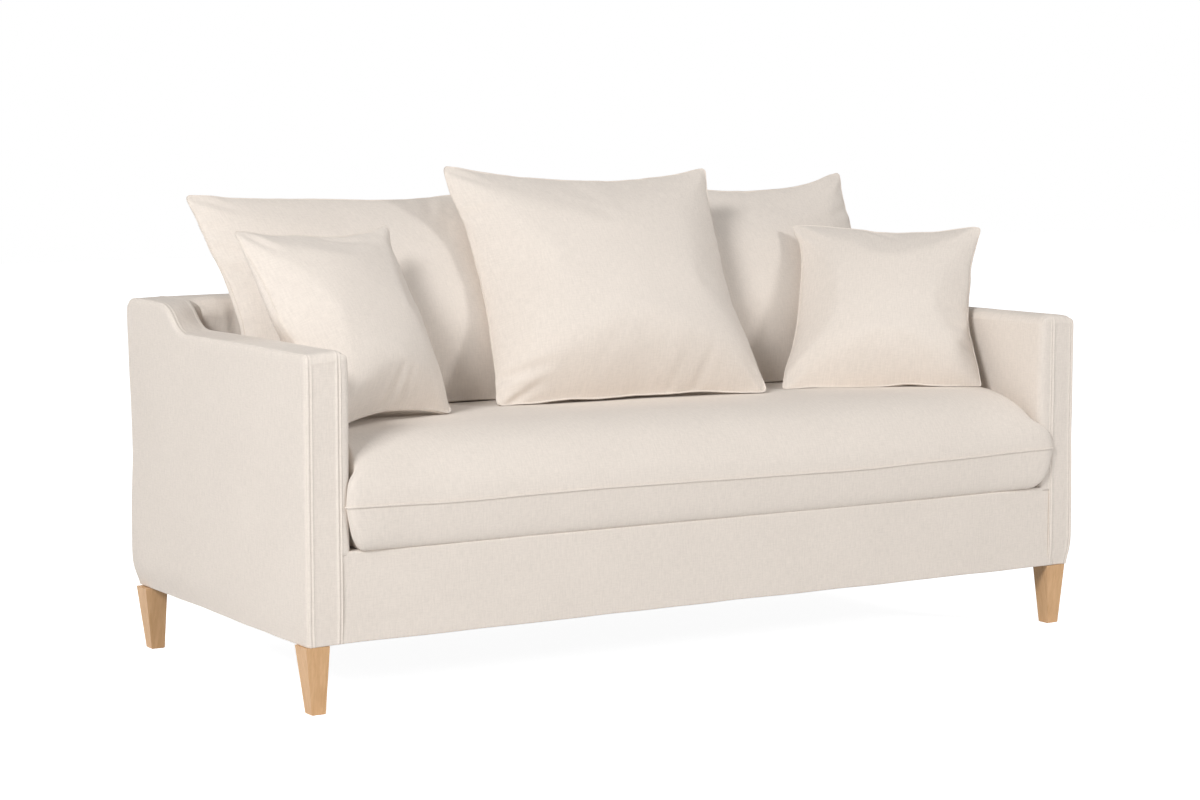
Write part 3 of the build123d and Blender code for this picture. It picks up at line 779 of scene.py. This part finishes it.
def makeSeatCushion():
    look = seatLook
    low, high = look["low"], look["high"]
    halfX = (high.x - low.x) / 2 - look["lip"]
    halfY = (high.y - low.y) / 2 - look["lip"]
    centreY = (high.y + low.y) / 2
    seamZ = low.z
    bm = bmesh.new()
    uvLayer, onSeam, lipReach = cushionLayers(bm)
    across = edgeTable(halfX, look["edgeRows"], look["step"])
    deep = edgeTable(halfY, look["edgeRows"], look["step"])
    for height, (sweep, powers) in ((high.z - seamZ, look["crown"]), (look["bottom"] - seamZ, look["base"])):
        made = bmesh.ops.create_grid(bm, x_segments=len(across) - 1, y_segments=len(deep) - 1, size=1)
        places = {}
        for v in made["verts"]:
            i = round((v.co.x + 1) / 2 * (len(across) - 1))
            j = round((v.co.y + 1) / 2 * (len(deep) - 1))
            ends = edgeHeight(halfX - abs(across[i]), sweep[0 if across[i] < 0 else 1], powers)
            sides = edgeHeight(halfY - abs(deep[j]), sweep[2], powers)
            lift = height * together(ends, sides)
            # along the cloth: the place, and how far it has climbed from the nearer edge
            turn = 1 if height > 0 else -1
            alongX = across[i] + math.copysign(height * (1 - ends), across[i]) * turn
            alongY = deep[j] + math.copysign(height * (1 - sides), deep[j]) * turn
            places[v] = (alongX, alongY)
            v.co = Vector((across[i], deep[j] + centreY, seamZ + lift))
            v[onSeam] = int(i in (0, len(across) - 1) or j in (0, len(deep) - 1))
            v[lipReach] = look["lipReach"]
        faces = {f for v in made["verts"] for f in v.link_faces}
        for face in faces:
            for loop in face.loops:
                loop[uvLayer].uv = places[loop.vert]
        if height < 0:
            bmesh.ops.reverse_faces(bm, faces=list(faces))
    for signX in (-1, 1):
        end = (0, signX * halfX, signX)
        roundEdge(bm, look["frontCorner"], end, (1, centreY - halfY, -1))
        roundEdge(bm, look["rearCorner"], end, (1, centreY + halfY, 1))
    return bm, seamZ, halfX, onSeam, lipReach


def finishSeatCushion():
    bm, seamZ, halfX, onSeam, lipReach = makeSeatCushion()
    bmesh.ops.remove_doubles(bm, verts=[v for v in bm.verts if v[onSeam]], dist=0.2 * mm)
    bm.normal_update()
    for v in bm.verts:
        co = v.co
        top = smooth(seamZ, seamZ + 0.1, co.z)
        sway = 2.4 * ripple(co, 0.23, 1.3) + 1.1 * ripple(co, 0.09, 6.6)
        co.z += sway * mm * top
        if co.z < seamZ:
            pleat = bump(seamZ - 0.022, 0.03, co.z) * ripple(Vector((co.x, co.y, 0)), 0.03, 3.3)
            co += v.normal * pleat * 1.6 * mm
        slack = (1 - top) * smooth(seamZ - 0.07, seamZ, co.z)
        co.z += 1.5 * mm * ripple(Vector((co.x, co.y, 0)), 0.16, 7.7) * slack
        level = max(0.0, 1 - ((co.z - 0.384) / 0.1) ** 2)
        co.z += seamAt(seatLook["seamSag"], co.x / (2 * halfX) + 0.5) * mm * level * smooth(-0.2, -0.3, co.y)
        if co.y < -0.38 and co.z < seamZ:
            # the lower edge hangs a little over the apron
            hang = smooth(-0.395, -0.402, co.y)
            co.y -= 6 * mm * bump(0.318, 0.05, co.z)
            co.z -= 2 * mm * hang * smooth(0.345, 0.31, co.z)
            run = smooth(seamZ - 45 * mm, seamZ - 8 * mm, co.z)
            for place, depth in seatLook["gathers"]:
                co.y += depth * mm * run * math.exp(-(((co.x / mm - place) / 5) ** 2))
        bow = smooth(halfX, halfX - 0.14, abs(co.x))
        co.y -= 7 * mm * bow * bump(seamZ, 0.075, co.z) * smooth(-0.365, -0.405, co.y)
        # the front corners swell out ahead of the arms
        spreading, widest, upward, downward = seatLook["swell"][-1 if co.x < 0 else 1]
        upDown = max(0.0, 1 - ((co.z / mm - widest) / (upward if co.z > widest * mm else downward)) ** 2)
        end = smooth(halfX - 0.13, halfX - 0.01, abs(co.x))
        co.y -= 9 * mm * end * smooth(-0.34, -0.405, co.y) * upDown ** 0.5
        swell = smooth(halfX - 0.07, halfX - 0.002, abs(co.x)) * smooth(-0.398, -0.411, co.y)
        co.x += math.copysign(spreading * mm * swell * upDown, co.x)
        if co.y > -0.4095:
            edge = armLook["frontInnerRound"]
            into = min(max(armLook["front"] + edge - co.y, 0), edge)
            free = armLook["inside"] + edge - math.sqrt(edge ** 2 - into ** 2) - 1.2 * mm
            co.x = math.copysign(min(abs(co.x), free), co.x)
    addLip(bm, onSeam, lipReach, seatLook["lipWidth"])
    surface = BVHTree.FromBMesh(bm)
    replaced = [f"seat_cushion_{part}" for part in ("upper_panel", "lower_panel", "filling")]
    cushion = placePiece(
        bm, "seat_cushion", cushionCloth, "seat_cushion", replaced, smoothing=1
    )
    return surface


seatSurface = finishSeatCushion()
print("seat cushion made")


# corners top left, top right, bottom right and bottom left, and depths in front and behind, in mm;
# belly is how far up the cloth is fullest; left, right, lower and upper say how far each seam is drawn in,
# in mm, at even steps upward or rightward; a fold runs from place to place, as shares of width and height,
# with its width and depth in mm; behind holds the rear crown's powers where they differ
cushionLooks = {
    "back_cushion_left": {
        "corners": ((-827, 303, 930), (-14, 313, 936), (-10, 34, 508), (-812, 34, 508)),
        "depths": (82, 76), "cells": (78, 52), "belly": 0.4, "fill": 0.7, "lip": 3.2,
        "left": (0, 14, 29, 40, 41, 35, 21, 12, 0), "right": (0, 8, 14, 17, 18, 17, 14, 8, 0),
        "lower": (0, 2, 1, 3, 2, 3, 1, 2, 0), "upper": (0, 10, 15, 19, 24, 25, 17, 8, 0),
        "folds": (
            (0, 0.84, 0.08, 0.80, 9, 3), (0, 0.74, 0.10, 0.69, 9, 3.5), (0, 0.63, 0.12, 0.60, 10, 3.5),
            (0.02, 0.98, 0.14, 0.89, 11, 2.5), (0.68, 1, 0.63, 0.83, 10, 2.5),
            (0.98, 0.97, 0.9, 0.88, 10, 2.5),
        ),
    },
    "back_cushion_right": {
        "corners": ((-8, 313, 936), (818, 316, 956), (811, 34, 508), (-6, 34, 508)),
        "depths": (82, 76), "cells": (78, 52), "belly": 0.4, "fill": 0.7, "lip": 3.2,
        "left": (0, 8, 14, 17, 18, 17, 14, 8, 0), "right": (0, 12, 21, 26, 26, 24, 21, 14, 0),
        "lower": (0, 2, 3, 1, 2, 3, 1, 2, 0), "upper": (0, 12, 20, 26, 29, 39, 39, 28, 0),
        "folds": (
            (0.98, 0.98, 0.87, 0.86, 10, 2.5), (0.66, 1, 0.6, 0.81, 10, 3), (1, 0.81, 0.89, 0.77, 9, 3),
        ),
    },
    "centre_cushion": {
        "corners": ((-288, 207, 986), (327, 145, 975), (294, -141, 510), (-321, -79, 510)),
        "depths": (118, 50), "cells": (62, 56), "belly": 0.27, "fill": 0.75, "lip": 4.5,
        "left": (0, 10, 17, 24, 26, 23, 19, 2, -2), "right": (0, 8, 18, 27, 28, 23, 19, 13, 0),
        "lower": (1, 3, 8, 7, 10, 9, 11, 5, 1), "upper": (2, 15, 27, 33, 37, 37, 30, 19, 2),
        "folds": (
            (0, 0.78, 0.15, 0.795, 7, 4.5), (0, 0.64, 0.13, 0.59, 9, 2.5), (0, 0.50, 0.12, 0.48, 8, 2.5),
            (0, 0.09, 0.2, 0.11, 9, 5), (0.04, 0, 0.16, 0.06, 7, 4), (0.62, 0, 0.68, 0.14, 7, 2.5),
            (0.72, 0, 0.8, 0.18, 9, 2.5), (1, 0.01, 0.92, 0.11, 8, 3), (0.02, 0.98, 0.16, 0.88, 10, 3),
            (0.73, 1, 0.66, 0.85, 10, 2.5), (1, 0.63, 0.88, 0.57, 9, 2.5),
        ),
    },
    "scatter_cushion_left": {
        "corners": ((-865, -9, 872), (-496, 61, 873), (-460, -137, 508), (-820, -297, 506)),
        "depths": (84, 76), "cells": (48, 50), "belly": 0.29, "fill": 0.7, "lip": 7.0, "behind": (3.2, 0.45),
        "left": (0, 16, 20, 22, 22, 20, 17, 9, 0), "right": (0, 0, 4, 2, 2, 8, 8, 9, 0),
        "lower": (0, 8, 17, 24, 28, 25, 20, 12, 2), "upper": (1, 8, 15, 17, 22, 25, 22, 15, 1),
        "folds": (
            (0.48, 0, 0.57, 0.18, 8, 4), (0.60, 0, 0.64, 0.16, 7, 3.5), (0.52, 0.97, 0.86, 0.9, 9, 3),
            (0.05, 0.97, 0.16, 0.82, 9, 3.5), (0.96, 0.04, 0.84, 0.2, 9, 3), (1, 0.72, 0.83, 0.67, 8, 2),
        ),
    },
    "scatter_cushion_right": {
        "corners": ((553, 137, 844), (883, -124, 843), (764, -274, 505), (370, -89, 505)),
        "depths": (86, 54), "cells": (50, 46), "belly": 0.29, "fill": 0.7, "lip": 5.0,
        "left": (0, 6, 18, 25, 29, 30, 30, 22, 0), "right": (0, 9, 20, 31, 32, 28, 25, 13, 0),
        "lower": (1, 6, 4, 5, 7, 12, 8, 5, 1), "upper": (0, 0, 5, 11, 18, 17, 15, 6, 0),
        "folds": (
            (0.43, 0.99, 0.57, 0.89, 8, 3.5), (1, 0.44, 0.82, 0.41, 8, 3), (1, 0.33, 0.81, 0.3, 8, 3.5),
            (1, 0.21, 0.84, 0.23, 7, 3), (0.03, 0.97, 0.14, 0.8, 9, 3), (0.02, 0.04, 0.18, 0.19, 9, 3),
            (0.98, 0.97, 0.86, 0.83, 9, 3),
        ),
    },
}

looseLook = {
    "frames": 22,
    # of the cloth while it is blown up
    "settings": {
        "quality": 6, "mass": 0.3, "tension_stiffness": 18, "compression_stiffness": 18,
        "shear_stiffness": 6, "bending_stiffness": 0.6, "air_damping": 3,
        "use_pressure": True, "uniform_pressure_force": 4.0,
    },
    "creases": 0.5,  # how much of the simulated creases is kept
    "powers": (2.4, 0.55),  # of the crown
    "ear": 12 * mm,  # rounding of the corners
    "crowdedRows": 0.6,
    "lip": 1.6,  # mm, where nothing presses it out
    "lipWidth": 3.4 * mm,
    "parting": 0.8,
    "gather": 1.5,  # mm
    "gatherReach": 26 * mm,
}


def inflate(bm, name):
    # blows the flat envelope up as cloth and returns where its points end
    mesh = bpy.data.meshes.new(name)
    bm.to_mesh(mesh)
    envelope = addObject(name, mesh)
    cloth = envelope.modifiers.new("air", "CLOTH")
    for key, value in looseLook["settings"].items():
        setattr(cloth.settings, key, value)
    cloth.settings.effector_weights.gravity = 0
    cloth.point_cache.frame_end = looseLook["frames"]
    for step in range(1, looseLook["frames"] + 1):
        bpy.context.scene.frame_set(step)
    blown = envelope.evaluated_get(bpy.context.evaluated_depsgraph_get())
    ends = [v.co.copy() for v in blown.data.vertices]
    bpy.data.objects.remove(envelope)
    bpy.context.scene.frame_set(1)
    return ends


def evenCrown(across, up):
    # the fullness of a cushion blown up evenly, 0 at its seams and 1 in the middle
    return (max(0.0, 1 - abs(2 * across - 1) ** 2.4) * max(0.0, 1 - abs(2 * up - 1) ** 2.4)) ** 0.55


def crown(across, up, belly, powers):
    # the fullness of a cushion whose filling has sunk, so that the cloth turns under below the belly
    sides = max(0.0, 1 - abs(2 * across - 1) ** powers[0]) ** powers[1]
    if up < belly:
        return sides * max(0.0, 1 - (1 - up / belly) ** 2.1) ** 0.78
    return sides * max(0.0, 1 - ((up - belly) / (1 - belly)) ** 2.3) ** 0.6


def heldIn(x, z):
    # the arms hold a cushion in, softly, and let it spread above them
    limit, soft = 0.8145 + 0.4 * max(0.0, z - 0.664), 7 * mm
    beyond = abs(x) - limit + soft
    return x if beyond < 0 else math.copysign(limit - soft * math.exp(-beyond / soft), x)


def makeCushion(name, look):
    topLeft, topRight, lowRight, lowLeft = [Vector(corner) * mm for corner in look["corners"]]
    width = ((topRight - topLeft).length + (lowRight - lowLeft).length) / 2
    height = ((topLeft - lowLeft).length + (topRight - lowRight).length) / 2
    seed = width * 7 + height * 3 + lowLeft.x * 5
    bm = bmesh.new()
    uvLayer, onSeam, lipReach = cushionLayers(bm)
    cells = look["cells"]
    crowd = looseLook["crowdedRows"]
    for side in (1, -1):
        made = bmesh.ops.create_grid(bm, x_segments=cells[0], y_segments=cells[1], size=0.5)
        for v in made["verts"]:
            v[onSeam] = int(max(abs(v.co.x), abs(v.co.y)) > 0.4999)
            shares = [(1 - crowd) * place + crowd * 0.5 * math.sin(math.pi * place) for place in v.co[:2]]
            v.co = Vector((shares[0] * width, shares[1] * height, (1 - v[onSeam]) * side * 1.5 * mm))
        faces = list({f for v in made["verts"] for f in v.link_faces})
        for face in faces:
            for loop in face.loops:
                loop[uvLayer].uv = (loop.vert.co.x + (2.0 if side < 0 else 0), loop.vert.co.y)
        if side < 0:
            bmesh.ops.reverse_faces(bm, faces=faces)
    bmesh.ops.remove_doubles(bm, verts=[v for v in bm.verts if v[onSeam]], dist=0.01 * mm)
    for signX in (-1, 1):
        for signY in (-1, 1):
            roundEdge(bm, looseLook["ear"], (0, signX * width / 2, signX), (1, signY * height / 2, signY))
    flat = [v.co.copy() for v in bm.verts]
    creased = None
    blown = inflate(bm, name + "_envelope")
    deepest = max(b.z for b in blown)
    creased = [abs(b.z) / deepest for b in blown]
    across = (topRight - topLeft + lowRight - lowLeft).normalized()
    upward = (topLeft - lowLeft + topRight - lowRight).normalized()
    facing = across.cross(upward).normalized()
    for n, (v, co) in enumerate(zip(bm.verts, flat)):
        u, w = co.x / width + 0.5, co.y / height + 0.5
        front = 0 if v[onSeam] else (1 if co.z > 0 else -1)
        full = 0.0
        if front:
            powers = looseLook["powers"] if front > 0 else look.get("behind", looseLook["powers"])
            full = crown(u, w, look["belly"], powers)
            if creased:
                full += (creased[n] - evenCrown(u, w)) * looseLook["creases"]
        # the seams are drawn in, and behind them the cloth stands out again
        hold = 1.0 if front >= 0 else 1 - 0.75 * min(max(full, 0), 1) ** 0.5
        left, right = (seamAt(look[edge], w) * mm / width * hold for edge in ("left", "right"))
        lower, upper = (seamAt(look[edge], u) * mm / height * hold for edge in ("lower", "upper"))
        u2, w2 = left + u * (1 - left - right), lower + w * (1 - lower - upper)
        base = lowLeft.lerp(lowRight, u2).lerp(topLeft.lerp(topRight, u2), w2)
        depth = look["depths"][0 if front > 0 else 1] * mm * front
        point = Vector((co.x, co.y, seed))
        nearSeam = 1 - smooth(0, 45 * mm, min(width / 2 - abs(co.x), height / 2 - abs(co.y)))
        wander = (2.0 * ripple(point, 0.09, 2.2) + 1.2 * ripple(point, 0.03, 4.1)) * nearSeam * mm
        v.co = base + facing * (full * depth + wander) + across * 0.6 * wander
        # the lip is pressed out where the cushion stands on its lower seam
        pressed = 1 - smooth(0.0, 0.05, w2)
        v[lipReach] = (looseLook["lip"] + (look["lip"] - looseLook["lip"]) * pressed) * mm
    bm.normal_update()
    pushes = {}
    for v, co in zip(bm.verts, flat):
        point = Vector((co.x, co.y, seed + (3 if co.z > 0 else 7)))
        edgeX, edgeY = width / 2 - abs(co.x), height / 2 - abs(co.y)
        # little gathers run in from the seams, and slow swells over the middle
        reach = looseLook["gatherReach"]
        sideGather = ripple(Vector((co.x * 0.25, co.y, seed)), 0.017, 1.0) * math.exp(-edgeX / reach)
        endGather = ripple(Vector((co.x, co.y * 0.25, seed)), 0.017, 6.0) * math.exp(-edgeY / reach)
        amount = looseLook["gather"] * (sideGather + endGather) * smooth(0, 5 * mm, min(edgeX, edgeY))
        amount += 1.3 * ripple(point, 0.12, 5.5) + 0.7 * ripple(point, 0.045, 9.1)
        if co.z > 0 or v[onSeam]:
            place = (co.x + width / 2, co.y + height / 2)
            amount += sum(foldDepth(fold, *place, width, height) for fold in look["folds"])
        pushes[v] = v.normal * amount * mm if not v[onSeam] else facing * 0.5 * amount * mm
    for v, push in pushes.items():
        v.co += push
    addLip(bm, onSeam, lipReach, looseLook["lipWidth"], groove=looseLook["parting"])
    for v in bm.verts:
        co = v.co
        if co.z < 0.56:
            hit = seatSurface.ray_cast(Vector((co.x, co.y, 0.7)), Vector((0, 0, -1)))[0]
            co.z = max(co.z, (hit.z if hit else 0.5) + 0.8 * mm)
        if co.z < 0.95:
            co.x = heldIn(co.x, co.z)
    bm.normal_update()
    piece = placePiece(
        bm, name, cushionCloth, name, [f"{name}_cover", f"{name}_filling"], smoothing=1
    )


for cushionName, cushionLook in cushionLooks.items():
    makeCushion(cushionName, cushionLook)
    print(cushionName, "made")


def placeCopy(nodeName, finish):
    # the same sub-part; what stands high in an arm follows the arm's rise
    bm = bmesh.new()
    bm.from_mesh(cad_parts[nodeName].data)
    bmesh.ops.remove_doubles(bm, verts=bm.verts[:], dist=0.01 * mm)
    for v in bm.verts:
        if v.co.z > 0.6:
            v.co.z += skewedRise(abs(v.co.x), v.co.y) - riseAt(v.co.y)
            if abs(v.co.x) < 0.84:
                v.co.x += math.copysign(14 * mm * smooth(0.1, 0.2, v.co.y), v.co.x)
    copied = placePiece(bm, nodeName + "_shaped", finish, "frame", [nodeName])
    for polygon in copied.data.polygons:
        polygon.use_smooth = False
    return copied


pine = makeWood("pineWood", (0.72, 0.53, 0.31), (0.58, 0.38, 0.19), ringSize=11 * mm, roughness=0.6)
hardboard = makeSpeckled("hardboard", (0.33, 0.2, 0.11), (0.22, 0.13, 0.07), 3 * mm, 0.75)
steel = makeSpeckled("zincSteel", (0.62, 0.63, 0.64), (0.5, 0.51, 0.52), 2 * mm, 0.35, metallic=1.0)
springSteel = makeSpeckled("springSteel", (0.3, 0.3, 0.31), (0.2, 0.2, 0.21), 2 * mm, 0.42, metallic=1.0)
webbing = makeSpeckled("webbing", (0.25, 0.22, 0.19), (0.12, 0.1, 0.09), 1.2 * mm, 0.9)
dustCloth = makeSpeckled("dustCloth", (0.035, 0.035, 0.037), (0.02, 0.02, 0.022), 1.5 * mm, 0.95)

for sideName in ("left", "right"):
    placeCopy(f"arm_top_rail_{sideName}", pine)
    placeCopy(f"arm_inner_panel_{sideName}", hardboard)
dustSheet = placeCopy("dust_cover", dustCloth)

nodeFinish = {
    "leg_front": beech, "leg_rear": beech,
    "arm_outer_panel": hardboard, "back_panel": hardboard,
    "threaded": steel, "hanger": steel, "leg_washers": steel, "spring_clips": steel,
    "seat_springs": springSteel, "back_webbing": webbing,
}
for nodeName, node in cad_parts.items():
    if node.hide_render:
        continue
    finish = next((value for key, value in nodeFinish.items() if nodeName.startswith(key)), pine)
    node.data.materials.clear()
    node.data.materials.append(finish)
print("node finishes set")


stageLook = {
    "floorSize": 14.0,
    "floorColour": (0.80, 0.80, 0.80, 1),
    "floorLift": 0.93,
    "worldStrength": 0.292,
    "lamps": (
        # place, aim, size, power
        ((-7.5, -4.5, 5.5), (0, 0, 0.4), 2.4, 610),
        ((7.2, -8.8, 4.4), (0, 0, 0.4), 1.8, 345),
        ((-3.5, -4.5, 7.0), (0, 0, 0.4), 3.0, 32),
    ),
}


def seenDirectly(tree):
    # 1 where the camera looks, also in a reflection or through glass, and 0 for the light on the sofa
    rays = addNode(tree, "ShaderNodeLightPath")
    seen = mathNode(tree, "MAXIMUM", rays.outputs["Is Camera Ray"], rays.outputs["Is Glossy Ray"])
    return mathNode(tree, "MAXIMUM", seen, rays.outputs["Is Transmission Ray"])


def makeStage():
    look = stageLook
    bm = bmesh.new()
    bmesh.ops.create_grid(bm, x_segments=1, y_segments=1, size=look["floorSize"])
    mesh = bpy.data.meshes.new("floor")
    bm.to_mesh(mesh)
    bm.free()
    floor = addObject("floor", mesh)
    material, tree, shader = newMaterial("paleFloor")
    shader.inputs["Base Color"].default_value = look["floorColour"]
    shader.inputs["Roughness"].default_value = 0.9
    shader.inputs["Specular IOR Level"].default_value = 0.1
    lift = mathNode(tree, "MULTIPLY", seenDirectly(tree), look["floorLift"])
    shader.inputs["Emission Color"].default_value = (1, 1, 1, 1)
    tree.links.new(lift, shader.inputs["Emission Strength"])
    mesh.materials.append(material)

    world = bpy.data.worlds.new("studio")
    bpy.context.scene.world = world
    world.use_nodes = True
    tree = world.node_tree
    background = tree.nodes["Background"]
    level = mathNode(tree, "MULTIPLY", seenDirectly(tree), 1.0 - look["worldStrength"])
    level = mathNode(tree, "ADD", level, look["worldStrength"])
    tree.links.new(level, background.inputs["Strength"])
    background.inputs["Color"].default_value = (1, 1, 1, 1)

    for place, aim, size, power in look["lamps"]:
        lamp = bpy.data.lights.new("softLamp", "AREA")
        lamp.size = size
        lamp.energy = power
        holder = addObject("softLamp", lamp)
        holder.location = place
        holder.rotation_euler = (Vector(aim) - Vector(place)).to_track_quat("-Z", "Y").to_euler()


cameraLook = {
    "lens": 84,
    "sensor": 36,
    "place": (-3.0902, -4.9345, 1.1075),
    "turn": (math.pi / 2 - 0.1045, 0, -0.5549),
}


def makeCamera():
    look = cameraLook
    camera = bpy.data.cameras.new("camera")
    camera.lens = look["lens"]
    camera.sensor_width = look["sensor"]
    holder = addObject("camera", camera)
    holder.location = look["place"]
    holder.rotation_euler = look["turn"]
    bpy.context.scene.camera = holder


makeStage()
makeCamera()
bpy.context.scene.view_settings.view_transform = "Standard"
print("stage, light and camera set")
